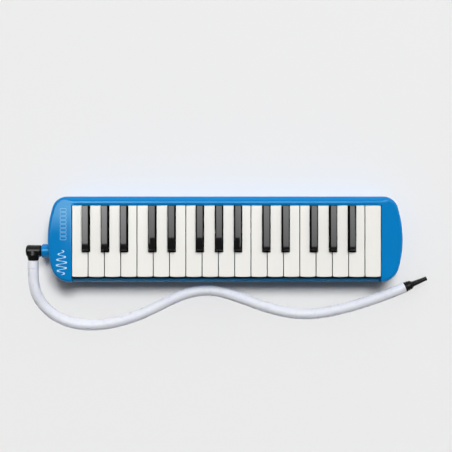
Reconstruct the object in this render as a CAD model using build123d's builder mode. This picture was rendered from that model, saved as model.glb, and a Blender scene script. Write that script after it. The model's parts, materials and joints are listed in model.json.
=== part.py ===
"""Melodica with 32 keys, lying on its back, with its blowing hose.

X runs along the keyboard, low notes at -X. Y runs from the player's edge (-Y) to the rail behind
the keys (+Y). Z is up, and the case stands on z = 0. All sizes are in millimetres.
"""

import math
import os
from itertools import chain

from build123d import *

os.makedirs("parts", exist_ok=True)

# ---------------------------------------------------------------- driving dimensions

CASE_LENGTH = 427.6
CASE_DEPTH = 103.4
CAP_TOP = 36.0  # top of the end caps and of the rail
SPLIT_Z = 25.0  # joint between the lower case and the upper cover
WALL = 2.2
END_RADIUS = 130.0  # bulge of the two ends in plan
REAR_CORNER = 18.0
FRONT_CORNER = 24.0
TOP_ROUND = 4.6
BOTTOM_ROUND = 4.0

SOCKET_REACH = 9.5  # how far the blow socket stands out of the left end
CASE_X = SOCKET_REACH / 2  # the case's centre, which centres case and socket on x = 0
SOCKET_Y = -14.2
SOCKET_Z = 16.0
SOCKET_OD = 16.8
PLUG_R = 5.95
RUNNING = 0.05  # radial clearance of everything that turns
TOUCH = 0.02  # radial clearance of everything that is screwed or pushed home

# Keyboard
WHITE_COUNT = 19
KEY_COUNT = 32
PITCH = 19.53  # one white key to the next
KEYBOARD_X = 1.6  # middle of the keyboard from the middle of the case
KEY_GAP = 0.8
KEY_FRONT = -44.9
KEY_BACK = 40.6
HEAD_BACK = -15.4  # back edge of a white key's full-width head
KEY_BOTTOM = 27.0
WHITE_TOP = 36.4
BLACK_TOP = 44.6
BLACK_FRONT = -14.2
BLACK_SLOPE = 2.0  # how far the front of a black key leans back
BLACK_BASE = 9.5
BLACK_CROWN = 7.7
BLACK_CLEARANCE = 0.45
KEY_WALL = 1.4
SPRING_SEAT_Y = (-8.0, -5.0)  # cross wall in each key, on which its leaf spring presses
GUIDE_RIB_Y = (-38.5, -33.0)
GUIDE_RIB_X = 2.8  # from the middle of a white key to each of its guide ribs
POCKET_BACK = 19.0
WHITE_POCKET_TOP = 34.0
BLACK_POCKET_TOP = 36.0
BLACK_OFFSET = {"c_sharp": -1.0, "d_sharp": 2.6, "f_sharp": -2.6, "g_sharp": 0.9, "a_sharp": 4.1}
NOTES = ["c", "c_sharp", "d", "d_sharp", "e", "f", "f_sharp", "g", "g_sharp", "a", "a_sharp", "b"]
FIRST_NOTE = 5  # f in the third octave
FIRST_OCTAVE = 3

# Key pivot, tail and pad
AXLE_Y = 24.0
AXLE_Z = 24.0
AXLE_R = 1.25
LUG_R = 3.0
LUG_WIDTH = 5.5
TAIL_FRONT = 28.0
TAIL_BACK = 47.0
TAIL_BOTTOM = 21.0
TAIL_TOP = 31.0
PAD_GAP = 0.05
PAD_WIDTH = 7.4
PAD_Y = (35.0, 45.0)

# Air path
CHAMBER_HALF = 190.0
CHAMBER_FRONT = 5.0
CHAMBER_BACK = 48.3
CHAMBER_BOTTOM = 7.0
CHAMBER_RIM = 12.5
CHAMBER_WALL = 1.8
CHAMBER_FLOOR = 1.6
BLOCK_BOTTOM = 13.0
BLOCK_TOP = 19.0
CELL_WIDTH = 7.4
WINDOW = (10.0, 26.0, 8.6, 11.6)  # y and z range of the passage from manifold to chamber
MANIFOLD = (-206.2, -190.0, -24.0, 30.0, 5.6, 24.0)  # x, y and z ranges

# Keyboard opening and rail
OPENING_LEFT = -184.3
OPENING_RIGHT = 187.4
RAIL_FRONT = 41.0
LIP_DEPTH = 4.6  # from the front of the case to the back of the lip
LIP_FLAT = 1.2  # level top of the lip, behind its sloping outer face
LIP_SLOPE_Z = 21.5

# Strap recess in the underside
RECESS_HALF = 92.0
RECESS_FRONT = -45.0
RECESS_BACK = -4.0
RECESS_TOP = 10.8
STRAP_Y = (RECESS_FRONT + RECESS_BACK) / 2
STRAP_WIDTH = 30.0
STRAP_THICK = 1.6
ANCHOR_X = 85.0

# Key guides and stops
LEDGE = (-40.0, 17.8, 20.0)  # back edge, underside and top of the felt ledge
GUIDE_BASE = (RECESS_TOP + WALL, RECESS_TOP + WALL + 2.5)
GUIDE_TOP = 28.8
WHITE_GUIDE = (4.0, (-37.0, -34.5))  # width in x, and y range, of a white key's guide post
BLACK_GUIDE = (6.0, (-12.0, -9.5))
FRONT_FELT = ((-46.5, -40.6), 22.3)  # y range and top of the felt under the white key fronts
INNER_FELT = ((-15.8, -12.8), 23.9)  # and of the felt under the black key fronts

# Screws
SCREW_R = 1.5
HEAD_R = 3.0
CASE_SCREWS = [(x, y) for x in (-199.0, 199.0) for y in (-36.0, 38.0)]
CHAMBER_SCREW_Y = 41.0
CHAMBER_SCREW_GAPS = (2, 8, 13, 18, 23, 28)  # each between this reed cell and the next
PLATE_SCREW_Y = 31.0
PLATE_SCREW_GAPS = (1, 6, 10, 14, 17, 21, 26, 30)

# Drain valve
DRAIN_X, DRAIN_Y = 180.0, 38.0

# Hose
HOSE_OD = 13.2
HOSE_ID = 8.5
ELBOW_X = -234.3  # outlet of the elbow, from the middle of the case
ELBOW_R = 7.2
OUTLET_END = -26.2
CUFF_END = -36.0
MOUTHPIECE_LENGTH = 29.0

# The hose's route, chosen point by point, in the part's own frame
HOSE_ROUTE = [
    (ELBOW_X + CASE_X, CUFF_END, SOCKET_Z),
    (ELBOW_X + CASE_X, -56.5, SOCKET_Z),
    (-222.1, -77.0, 12.5),
    (-206.6, -93.2, 9.0),
    (-185.6, -103.4, 6.85),
    (-159.6, -106.6, 6.65),
    (-128.6, -102.8, 6.65),
    (-94.6, -91.3, 6.65),
    (-63.6, -75.0, 6.65),
    (-38.6, -64.8, 6.65),
    (-10.6, -62.0, 6.65),
    (19.4, -70.6, 6.65),
    (51.4, -82.8, 6.65),
    (83.4, -91.3, 6.65),
    (111.4, -92.6, 6.65),
    (144.4, -87.3, 6.65),
    (179.4, -76.6, 6.65),
    (204.4, -68.0, 6.65),
    (225.6, -59.3, 6.65),
]


# ---------------------------------------------------------------- planes and shared sketches


def level(z, x=0.0, y=0.0):
    """A horizontal plane at height z, in the case's own x and y."""
    return Plane((CASE_X + x, y, z))


def section(x):
    """A plane across the case at x: its first axis is +Y, its second +Z, and it faces +X."""
    return Plane((CASE_X + x, 0, 0), x_dir=(0, 1, 0), z_dir=(1, 0, 0))


def front_plane(y):
    """A plane along the case at y: its first axis is +X, its second +Z, and it faces -Y."""
    return Plane((CASE_X, y, 0), x_dir=(1, 0, 0), z_dir=(0, -1, 0))


def area(x_range, y_range):
    """A rectangle in the open sketch, between two ranges."""
    with Locations((sum(x_range) / 2, sum(y_range) / 2)):
        Rectangle(x_range[1] - x_range[0], y_range[1] - y_range[0])


def block(x_range, y_range, z_range, mode=Mode.ADD):
    """A box in the open part, between three ranges."""
    with BuildSketch(level(z_range[0])) as base:
        area(x_range, y_range)
    extrude(base.sketch, amount=z_range[1] - z_range[0], mode=mode)


def post(x, y, radius, z_range, mode=Mode.ADD):
    """An upright cylinder in the open part."""
    with BuildSketch(level(z_range[0], x, y)) as base:
        Circle(radius)
    extrude(base.sketch, amount=z_range[1] - z_range[0], mode=mode)


def case_outline(inset=0.0):
    """The case in plan: straight long sides, bulged ends and four rounded corners."""
    half_x, half_y = CASE_LENGTH / 2, CASE_DEPTH / 2
    corner_x = half_x - END_RADIUS + math.sqrt(END_RADIUS**2 - half_y**2)
    with BuildSketch() as outline:
        with BuildLine():
            Line((-corner_x, half_y), (corner_x, half_y))
            ThreePointArc((corner_x, half_y), (half_x, 0), (corner_x, -half_y))
            Line((corner_x, -half_y), (-corner_x, -half_y))
            ThreePointArc((-corner_x, -half_y), (-half_x, 0), (-corner_x, half_y))
        make_face()
        fillet(outline.vertices().group_by(Axis.Y)[-1], REAR_CORNER)
        fillet(outline.vertices().group_by(Axis.Y)[0], FRONT_CORNER)
        if inset:
            offset(amount=-inset)
    return outline.sketch


# ---------------------------------------------------------------- the keyboard's layout


def keyboard_layout():
    """One entry per key: its name, colour and x ranges, worked out from the octave pattern."""
    left_end = KEYBOARD_X - WHITE_COUNT * PITCH / 2
    notes = [
        (NOTES[(FIRST_NOTE + i) % 12], FIRST_OCTAVE + (FIRST_NOTE + i) // 12) for i in range(KEY_COUNT)
    ]
    layout = []
    boundary = left_end
    for i, (note, octave) in enumerate(notes):
        if note in BLACK_OFFSET:
            centre = boundary + BLACK_OFFSET[note]
            shank = (centre - BLACK_BASE / 2, centre + BLACK_BASE / 2)
            name = f"black_key_{note}_{octave}"
            layout.append({"name": name, "black": True, "head": shank, "shank": shank})
            continue
        head = (boundary + KEY_GAP / 2, boundary + PITCH - KEY_GAP / 2)
        reach = BLACK_BASE / 2 + BLACK_CLEARANCE
        shank = list(head)
        if i and notes[i - 1][0] in BLACK_OFFSET:
            shank[0] = boundary + BLACK_OFFSET[notes[i - 1][0]] + reach
        if i + 1 < KEY_COUNT and notes[i + 1][0] in BLACK_OFFSET:
            shank[1] = boundary + PITCH + BLACK_OFFSET[notes[i + 1][0]] - reach
        boundary += PITCH
        name = f"white_key_{note}_{octave}"
        layout.append({"name": name, "black": False, "head": head, "shank": tuple(shank)})
    return layout


KEYS = keyboard_layout()
CELLS = [sum(key["shank"]) / 2 for key in KEYS]  # x of each key's tail, pad and reed cell


def gap_x(i):
    """Halfway between reed cell i and the next."""
    return (CELLS[i] + CELLS[i + 1]) / 2


# ---------------------------------------------------------------- keys


def shrink(pair, amount):
    return (pair[0] + amount, pair[1] - amount)


def tail_and_lug(shank):
    """Adds the bored lug and the tail to the open key."""
    middle = sum(shank) / 2
    with BuildSketch(section(middle - LUG_WIDTH / 2)) as lug:
        with Locations((AXLE_Y, AXLE_Z)):
            Circle(LUG_R)
        area((AXLE_Y - LUG_R, AXLE_Y + LUG_R), (AXLE_Z, KEY_BOTTOM + 0.5))
    extrude(lug.sketch, amount=LUG_WIDTH)
    block(shrink(shank, 0.5), (TAIL_FRONT, TAIL_BACK), (TAIL_BOTTOM, TAIL_TOP))
    with BuildSketch(section(middle - LUG_WIDTH)) as bore:
        with Locations((AXLE_Y, AXLE_Z)):
            Circle(AXLE_R + RUNNING)
    extrude(bore.sketch, amount=2 * LUG_WIDTH, mode=Mode.SUBTRACT)


def write_key(name, body, shank):
    """Writes a key with the rubber pad that is glued under its tail."""
    middle = sum(shank) / 2
    with BuildPart() as pad:
        pad_x = (middle - PAD_WIDTH / 2, middle + PAD_WIDTH / 2)
        block(pad_x, PAD_Y, (BLOCK_TOP + PAD_GAP, TAIL_BOTTOM))
    pad.part.label = "pad"
    key = Compound(label=name, children=[body, pad.part])
    export_step(key, f"parts/{name}.step")


def make_white_key(name, head, shank):
    middle = sum(head) / 2
    with BuildPart() as key:
        with BuildSketch(level(KEY_BOTTOM)) as plan:
            area(head, (KEY_FRONT, HEAD_BACK))
            fillet(plan.vertices().group_by(Axis.Y)[0], 1.6)
            area(shank, (KEY_FRONT + KEY_WALL, KEY_BACK))
        extrude(amount=WHITE_TOP - KEY_BOTTOM)
        fillet(key.edges().group_by(Axis.Z)[-1].sort_by(Axis.Y)[0], 0.6)
        with BuildSketch(level(KEY_BOTTOM)):
            area(shrink(head, KEY_WALL), (KEY_FRONT + KEY_WALL, HEAD_BACK - KEY_WALL))
            area(shrink(shank, KEY_WALL), (KEY_FRONT + KEY_WALL, POCKET_BACK))
        extrude(amount=WHITE_POCKET_TOP - KEY_BOTTOM, mode=Mode.SUBTRACT)
        block(shrink(shank, KEY_WALL / 2), SPRING_SEAT_Y, (KEY_BOTTOM + 1, WHITE_POCKET_TOP + 0.5))
        for side in (-1, 1):
            rib_x = middle + side * GUIDE_RIB_X
            block((rib_x - 0.6, rib_x + 0.6), GUIDE_RIB_Y, (KEY_BOTTOM, WHITE_POCKET_TOP + 0.5))
        tail_and_lug(shank)
    key.part.label = "key"
    write_key(name, key.part, shank)


def make_black_key(name, shank):
    crown = shrink(shank, (BLACK_BASE - BLACK_CROWN) / 2)
    with BuildPart() as key:
        block(shank, (BLACK_FRONT, KEY_BACK), (KEY_BOTTOM, WHITE_TOP))
        with BuildSketch(level(WHITE_TOP)):
            area(shank, (BLACK_FRONT, KEY_BACK))
        with BuildSketch(level(BLACK_TOP)):
            area(crown, (BLACK_FRONT + BLACK_SLOPE, KEY_BACK))
        loft()
        fillet(key.faces().sort_by(Axis.Z)[-1].edges(), 0.7)
        block(
            shrink(shank, KEY_WALL),
            (BLACK_FRONT + KEY_WALL, POCKET_BACK),
            (KEY_BOTTOM, BLACK_POCKET_TOP),
            Mode.SUBTRACT,
        )
        block(shrink(shank, KEY_WALL / 2), SPRING_SEAT_Y, (KEY_BOTTOM + 1, BLACK_POCKET_TOP + 0.5))
        tail_and_lug(shank)
    key.part.label = "key"
    write_key(name, key.part, shank)


for entry in KEYS:
    if entry["black"]:
        make_black_key(entry["name"], entry["shank"])
    else:
        make_white_key(entry["name"], entry["head"], entry["shank"])

# ---------------------------------------------------------------- lower case

GUIDE_POSTS = [(x, y) for x in (-165.0, -120.0, 120.0, 165.0) for y in (-35.7, -13.0)]
KEYBOARD = (OPENING_LEFT, OPENING_RIGHT)

with BuildPart() as lower_case:
    with BuildSketch(level(0)):
        add(case_outline())
    extrude(amount=SPLIT_Z)
    fillet(lower_case.edges().group_by(Axis.Z)[0], BOTTOM_ROUND)
    with BuildSketch(level(WALL)):
        add(case_outline(WALL))
    extrude(amount=SPLIT_Z - WALL, mode=Mode.SUBTRACT)
    # Felt ledge, and the lip in front of the keys with its sloping outer face
    lip_back = -CASE_DEPTH / 2 + LIP_DEPTH
    block(KEYBOARD, (-CASE_DEPTH / 2 + WALL / 2, LEDGE[0]), (LEDGE[1], LEDGE[2]))
    block(KEYBOARD, (-CASE_DEPTH / 2 + WALL / 2, lip_back), (LEDGE[2], SPLIT_Z))
    with BuildSketch(section(OPENING_LEFT)):
        with BuildLine():
            Polyline(
                (-CASE_DEPTH / 2 - 1, LIP_SLOPE_Z),
                (-CASE_DEPTH / 2, LIP_SLOPE_Z),
                (lip_back - LIP_FLAT, SPLIT_Z),
                (lip_back - LIP_FLAT, SPLIT_Z + 1),
                (-CASE_DEPTH / 2 - 1, SPLIT_Z + 1),
                close=True,
            )
        make_face()
    extrude(amount=OPENING_RIGHT - OPENING_LEFT, mode=Mode.SUBTRACT)
    # Strap recess
    block(
        (-RECESS_HALF - WALL, RECESS_HALF + WALL),
        (RECESS_FRONT - WALL, RECESS_BACK + WALL),
        (WALL / 2, RECESS_TOP + WALL),
    )
    with BuildSketch(level(0)) as recess:
        area((-RECESS_HALF, RECESS_HALF), (RECESS_FRONT, RECESS_BACK))
        fillet(recess.vertices(), 6.0)
    extrude(amount=RECESS_TOP, mode=Mode.SUBTRACT)
    # Bosses: case screws, chamber screws, chamber rests, guide comb posts, strap screws
    for x, y in CASE_SCREWS:
        post(x, y, 4.0, (WALL / 2, SPLIT_Z))
    for gap in CHAMBER_SCREW_GAPS:
        post(gap_x(gap), CHAMBER_SCREW_Y, 4.0, (WALL / 2, CHAMBER_BOTTOM))
        post(gap_x(gap), CHAMBER_FRONT + 4, 2.5, (WALL / 2, CHAMBER_BOTTOM))
    for x, y in GUIDE_POSTS:
        post(x, y, 2.8, (WALL / 2, GUIDE_BASE[0]))
    for x in (-ANCHOR_X, ANCHOR_X):
        post(x, STRAP_Y, 3.5, (RECESS_TOP + 1, 17.5))
    # Holes
    for x, y in CASE_SCREWS:
        post(x, y, HEAD_R + 0.3, (0, 4.0), Mode.SUBTRACT)
        post(x, y, SCREW_R + 0.2, (4.0, SPLIT_Z), Mode.SUBTRACT)
    for gap in CHAMBER_SCREW_GAPS:
        post(gap_x(gap), CHAMBER_SCREW_Y, HEAD_R + 0.3, (0, 3.6), Mode.SUBTRACT)
        post(gap_x(gap), CHAMBER_SCREW_Y, SCREW_R + 0.2, (3.6, CHAMBER_BOTTOM), Mode.SUBTRACT)
    for x in (-ANCHOR_X, ANCHOR_X):
        post(x, STRAP_Y, SCREW_R + TOUCH, (RECESS_TOP, 17.0), Mode.SUBTRACT)
    post(DRAIN_X, DRAIN_Y, 6.1, (0, WALL), Mode.SUBTRACT)
    with BuildSketch(section(-CASE_LENGTH / 2 - 1)):
        with Locations((SOCKET_Y, SOCKET_Z)):
            Circle(SOCKET_OD / 2 + RUNNING)
    extrude(amount=6.0, mode=Mode.SUBTRACT)
lower_case.part.label = "lower_case"
export_step(lower_case.part, "parts/lower_case.step")

# ---------------------------------------------------------------- upper cover

with BuildPart() as upper_cover:
    with BuildSketch(level(SPLIT_Z)):
        add(case_outline())
    extrude(amount=CAP_TOP - SPLIT_Z)
    fillet(upper_cover.edges().group_by(Axis.Z)[-1], TOP_ROUND)
    # The two caps are hollow, and the rail is open towards the keys
    for cap in (
        (-CASE_LENGTH, OPENING_LEFT - WALL),
        (OPENING_RIGHT + WALL, CASE_LENGTH),
    ):
        with BuildSketch(level(SPLIT_Z)):
            add(case_outline(WALL))
            with Locations((sum(cap) / 2, 0)):
                Rectangle(cap[1] - cap[0], CASE_DEPTH, mode=Mode.INTERSECT)
        extrude(amount=CAP_TOP - WALL - SPLIT_Z, mode=Mode.SUBTRACT)
    block(KEYBOARD, (-CASE_DEPTH, RAIL_FRONT), (SPLIT_Z, CAP_TOP), Mode.SUBTRACT)
    block(KEYBOARD, (0, CASE_DEPTH / 2 - WALL), (SPLIT_Z, CAP_TOP - WALL), Mode.SUBTRACT)
    for x, y in CASE_SCREWS:
        post(x, y, 4.0, (SPLIT_Z, CAP_TOP - WALL / 2))
        post(x, y, SCREW_R + TOUCH, (SPLIT_Z, CAP_TOP - WALL - 1.5), Mode.SUBTRACT)
    for cheek_x in KEYBOARD:
        edges = upper_cover.edges().filter_by(Axis.Y).group_by(Axis.Z)[-1]
        fillet(edges.sort_by(lambda edge: abs(edge.center().X - CASE_X - cheek_x))[0], 0.5)
upper_cover.part.label = "upper_cover"
export_step(upper_cover.part, "parts/upper_cover.step")

# ---------------------------------------------------------------- blow socket and air path

SOCKET_FACE = -CASE_LENGTH / 2 - SOCKET_REACH

with BuildPart() as blow_socket:
    with BuildSketch(section(SOCKET_FACE)):
        with Locations((SOCKET_Y, SOCKET_Z)):
            Circle(SOCKET_OD / 2)
    extrude(amount=MANIFOLD[0] - SOCKET_FACE)
    with BuildSketch(section(MANIFOLD[0] - 2.0)):
        with Locations((SOCKET_Y, SOCKET_Z)):
            Circle(SOCKET_OD / 2 + 1.8)
    extrude(amount=2.0)
    with BuildSketch(section(SOCKET_FACE)):
        with Locations((SOCKET_Y, SOCKET_Z)):
            Circle(PLUG_R + RUNNING)
    extrude(amount=MANIFOLD[0] - SOCKET_FACE, mode=Mode.SUBTRACT)
    chamfer(blow_socket.faces().sort_by(Axis.X)[0].outer_wire().edges(), 0.8)
blow_socket.part.label = "blow_socket"
export_step(blow_socket.part, "parts/blow_socket.step")

with BuildPart() as inlet_manifold:
    x_range, y_range, z_range = MANIFOLD[0:2], MANIFOLD[2:4], MANIFOLD[4:6]
    block(x_range, y_range, z_range)
    fillet(inlet_manifold.edges().filter_by(Axis.Z), 2.0)
    block(shrink(x_range, 2.0), shrink(y_range, 2.0), shrink(z_range, 2.0), Mode.SUBTRACT)
    with BuildSketch(section(MANIFOLD[0])):
        with Locations((SOCKET_Y, SOCKET_Z)):
            Circle(PLUG_R + RUNNING)
    extrude(amount=2.0, mode=Mode.SUBTRACT)
    block((MANIFOLD[1] - 2.0, MANIFOLD[1]), WINDOW[0:2], WINDOW[2:4], Mode.SUBTRACT)
inlet_manifold.part.label = "inlet_manifold"
export_step(inlet_manifold.part, "parts/inlet_manifold.step")

CHAMBER_X = (-CHAMBER_HALF, CHAMBER_HALF)
CHAMBER_Y = (CHAMBER_FRONT, CHAMBER_BACK)
CHAMBER_INNER_FLOOR = CHAMBER_BOTTOM + CHAMBER_FLOOR

with BuildPart() as wind_chamber:
    block(CHAMBER_X, CHAMBER_Y, (CHAMBER_BOTTOM, CHAMBER_RIM))
    block(
        shrink(CHAMBER_X, CHAMBER_WALL),
        shrink(CHAMBER_Y, CHAMBER_WALL),
        (CHAMBER_INNER_FLOOR, CHAMBER_RIM),
        Mode.SUBTRACT,
    )
    for gap in CHAMBER_SCREW_GAPS:
        post(gap_x(gap), CHAMBER_SCREW_Y, 3.5, (CHAMBER_BOTTOM + 0.5, CHAMBER_RIM))
        post(gap_x(gap), CHAMBER_SCREW_Y, SCREW_R + 0.2, (CHAMBER_BOTTOM, CHAMBER_RIM), Mode.SUBTRACT)
    block((-CHAMBER_HALF, -CHAMBER_HALF + CHAMBER_WALL), WINDOW[0:2], WINDOW[2:4], Mode.SUBTRACT)
    post(DRAIN_X, DRAIN_Y, 2.0, (CHAMBER_BOTTOM, CHAMBER_INNER_FLOOR), Mode.SUBTRACT)
wind_chamber.part.label = "wind_chamber"
export_step(wind_chamber.part, "parts/wind_chamber.step")

with BuildPart() as chamber_gasket:
    block(CHAMBER_X, CHAMBER_Y, (CHAMBER_RIM, BLOCK_BOTTOM))
    block(
        shrink(CHAMBER_X, CHAMBER_WALL),
        shrink(CHAMBER_Y, CHAMBER_WALL),
        (CHAMBER_RIM, BLOCK_BOTTOM),
        Mode.SUBTRACT,
    )
chamber_gasket.part.label = "chamber_gasket"
export_step(chamber_gasket.part, "parts/chamber_gasket.step")

PEG_GAPS = (0, 5, 11, 16, 22, 27, 30)  # heat-staked pegs that hold the spring comb
PEG_Y = 10.5
SPRING_THICK = 0.4

with BuildPart() as reed_block:
    block(CHAMBER_X, CHAMBER_Y, (BLOCK_BOTTOM, BLOCK_TOP))
    for cell in CELLS:
        cell_x = (cell - CELL_WIDTH / 2, cell + CELL_WIDTH / 2)
        block(cell_x, (9.0, 45.0), (BLOCK_BOTTOM, BLOCK_TOP - 1.6), Mode.SUBTRACT)
        block(shrink(cell_x, 1.4), (37.0, 43.0), (BLOCK_TOP - 1.6, BLOCK_TOP), Mode.SUBTRACT)
    for gap in PEG_GAPS:
        post(gap_x(gap), PEG_Y, 1.0, (BLOCK_TOP - 1, BLOCK_TOP + SPRING_THICK))
        post(gap_x(gap), PEG_Y, 1.7, (BLOCK_TOP + SPRING_THICK, BLOCK_TOP + SPRING_THICK + 0.7))
    for gap in CHAMBER_SCREW_GAPS:
        post(gap_x(gap), CHAMBER_SCREW_Y, SCREW_R + TOUCH, (BLOCK_BOTTOM, 17.5), Mode.SUBTRACT)
    for gap in PLATE_SCREW_GAPS:
        post(gap_x(gap), PLATE_SCREW_Y, 1.0 + TOUCH, (BLOCK_BOTTOM, 17.0), Mode.SUBTRACT)
reed_block.part.label = "reed_block"
export_step(reed_block.part, "parts/reed_block.step")

# ---------------------------------------------------------------- reeds

REED_TIP_Y = 11.0
LONGEST_REED = 20.0
REED_STEP = 0.32  # each reed is shorter than the one before it
PLATE_THICK = 1.0
PLATE_Z = (BLOCK_BOTTOM - PLATE_THICK, BLOCK_BOTTOM)
HALF_COUNT = KEY_COUNT // 2


def reed_length(i):
    return LONGEST_REED - 8.0 * (i >= HALF_COUNT) - REED_STEP * (i % HALF_COUNT)


def reed_plate(first):
    """One brass plate with a slot for each of its reeds."""
    cells = range(first, first + HALF_COUNT)
    with BuildPart() as plate:
        block((CELLS[first] - 5.0, CELLS[cells[-1]] + 5.0), (9.2, 33.0), PLATE_Z)
        for i in cells:
            slot_y = (REED_TIP_Y, REED_TIP_Y + reed_length(i) - 4.0)
            block((CELLS[i] - 1.3, CELLS[i] + 1.3), slot_y, PLATE_Z, Mode.SUBTRACT)
        for gap in PLATE_SCREW_GAPS:
            if gap in cells:
                post(gap_x(gap), PLATE_SCREW_Y, 1.2, PLATE_Z, Mode.SUBTRACT)
    return plate.part


reed_plate_low = reed_plate(0)
reed_plate_low.label = "reed_plate_low"
export_step(reed_plate_low, "parts/reed_plate_low.step")

reed_plate_high = reed_plate(HALF_COUNT)
reed_plate_high.label = "reed_plate_high"
export_step(reed_plate_high, "parts/reed_plate_high.step")

with BuildPart() as reed_tongues:
    for i, cell in enumerate(CELLS):
        tongue_y = (REED_TIP_Y + 0.2, REED_TIP_Y + reed_length(i))
        block((cell - 1.1, cell + 1.1), tongue_y, (PLATE_Z[0] - 0.3, PLATE_Z[0]))
reed_tongues.part.label = "reed_tongues"
export_step(reed_tongues.part, "parts/reed_tongues.step")

# ---------------------------------------------------------------- screws


def screw(x, y, head_z, head_height, tip_z, shank_r=SCREW_R, head_r=HEAD_R):
    """A screw driven upwards: a cross-slotted head below, its shank above."""
    post(x, y, head_r, (head_z, head_z + head_height))
    post(x, y, shank_r, (head_z + head_height, tip_z))
    depth = head_height / 2
    arm = head_r * 0.6
    block((x - arm, x + arm), (y - 0.4, y + 0.4), (head_z, head_z + depth), Mode.SUBTRACT)
    block((x - 0.4, x + 0.4), (y - arm, y + arm), (head_z, head_z + depth), Mode.SUBTRACT)


with BuildPart() as case_screws:
    for x, y in CASE_SCREWS:
        screw(x, y, 1.9, 2.1, CAP_TOP - WALL - 2.0)
case_screws.part.label = "case_screws"
export_step(case_screws.part, "parts/case_screws.step")

with BuildPart() as chamber_screws:
    for gap in CHAMBER_SCREW_GAPS:
        screw(gap_x(gap), CHAMBER_SCREW_Y, 1.5, 2.1, 17.0)
chamber_screws.part.label = "chamber_screws"
export_step(chamber_screws.part, "parts/chamber_screws.step")

with BuildPart() as reed_plate_screws:
    for gap in PLATE_SCREW_GAPS:
        screw(gap_x(gap), PLATE_SCREW_Y, PLATE_Z[0] - 1.0, 1.0, 16.5, 1.0, 1.8)
reed_plate_screws.part.label = "reed_plate_screws"
export_step(reed_plate_screws.part, "parts/reed_plate_screws.step")

# ---------------------------------------------------------------- key action

END_BRACKETS = ((-184.0, -182.2), (183.0, 184.8))
BRACKET_GAPS = (3, 7, 11, 15, 19, 23, 27)

with BuildPart() as key_axle:
    with BuildSketch(section(END_BRACKETS[0][0])):
        with Locations((AXLE_Y, AXLE_Z)):
            Circle(AXLE_R)
    extrude(amount=END_BRACKETS[1][1] - END_BRACKETS[0][0])
key_axle.part.label = "key_axle"
export_step(key_axle.part, "parts/key_axle.step")

with BuildPart() as axle_brackets:
    spans = [(gap_x(gap) - 1.5, gap_x(gap) + 1.5) for gap in BRACKET_GAPS]
    for span in chain(END_BRACKETS, spans):
        block(span, (AXLE_Y - 4.5, AXLE_Y + 3.5), (BLOCK_TOP, BLOCK_TOP + 1.5))
        block(span, (AXLE_Y - 2.6, AXLE_Y + 2.6), (BLOCK_TOP, KEY_BOTTOM - 0.8))
    with BuildSketch(section(END_BRACKETS[0][0] - 1)):
        with Locations((AXLE_Y, AXLE_Z)):
            Circle(AXLE_R + TOUCH)
    extrude(amount=CASE_LENGTH, mode=Mode.SUBTRACT)
axle_brackets.part.label = "axle_brackets"
export_step(axle_brackets.part, "parts/axle_brackets.step")

SPRING_STRIP_Y = (7.5, 13.5)
SPRING_FINGER = 4.6

with BuildPart() as key_springs:
    strip_x = (CELLS[0] - 4.0, CELLS[-1] + 4.0)
    block(strip_x, SPRING_STRIP_Y, (BLOCK_TOP, BLOCK_TOP + SPRING_THICK))
    for cell in CELLS:
        with BuildSketch(section(cell - SPRING_FINGER / 2)):
            with BuildLine():
                Polyline(
                    (SPRING_STRIP_Y[0], BLOCK_TOP),
                    (SPRING_STRIP_Y[0], BLOCK_TOP + SPRING_THICK),
                    (-4.6, KEY_BOTTOM + 0.7),
                    (-7.8, KEY_BOTTOM + 0.7),
                    (-7.8, KEY_BOTTOM + 0.3),
                    (-4.8, KEY_BOTTOM + 0.3),
                    close=True,
                )
            make_face()
        extrude(amount=SPRING_FINGER)
    for gap in PEG_GAPS:
        post(gap_x(gap), PEG_Y, 1.0 + TOUCH, (BLOCK_TOP, BLOCK_TOP + SPRING_THICK), Mode.SUBTRACT)
key_springs.part.label = "key_springs"
export_step(key_springs.part, "parts/key_springs.step")

FELT_INNER_Z = 21.6  # top of the guide comb's stop rib
with BuildPart() as key_stop_felt:
    block(shrink(KEYBOARD, 1.0), FRONT_FELT[0], (LEDGE[2], FRONT_FELT[1]))
    block(shrink(KEYBOARD, 1.0), INNER_FELT[0], (FELT_INNER_Z, INNER_FELT[1]))
key_stop_felt.part.label = "key_stop_felt"
export_step(key_stop_felt.part, "parts/key_stop_felt.step")

with BuildPart() as key_guide_comb:
    comb_x = shrink(KEYBOARD, 1.0)
    block(comb_x, (-38.0, -33.5), GUIDE_BASE)
    block(comb_x, (-16.0, -10.0), GUIDE_BASE)
    block(comb_x, INNER_FELT[0], (GUIDE_BASE[0], FELT_INNER_Z))
    for x in (-150.0, -110.0, -60.0, 0.0, 60.0, 110.0, 150.0):
        block((x - 3, x + 3), (-34.0, -15.0), GUIDE_BASE)
    for key in KEYS:
        middle = sum(key["head"]) / 2
        width, guide_y = BLACK_GUIDE if key["black"] else WHITE_GUIDE
        block((middle - width / 2, middle + width / 2), guide_y, (GUIDE_BASE[0], GUIDE_TOP))
key_guide_comb.part.label = "key_guide_comb"
export_step(key_guide_comb.part, "parts/key_guide_comb.step")

# ---------------------------------------------------------------- drain valve

FLANGE_Z = (WALL + 0.1, WALL + 1.1)
WASHER_Z = (CHAMBER_INNER_FLOOR + 0.05, CHAMBER_INNER_FLOOR + 1.05)

with BuildPart() as drain_button:
    post(DRAIN_X, DRAIN_Y, 5.8, (0.8, FLANGE_Z[0]))
    fillet(drain_button.edges().group_by(Axis.Z)[0], 0.5)
    post(DRAIN_X, DRAIN_Y, 7.4, FLANGE_Z)
    post(DRAIN_X, DRAIN_Y, 1.5, (FLANGE_Z[1], WASHER_Z[1]))
    post(DRAIN_X, DRAIN_Y, 2.5, (WASHER_Z[1], WASHER_Z[1] + 0.7))
drain_button.part.label = "drain_button"
export_step(drain_button.part, "parts/drain_button.step")

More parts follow.
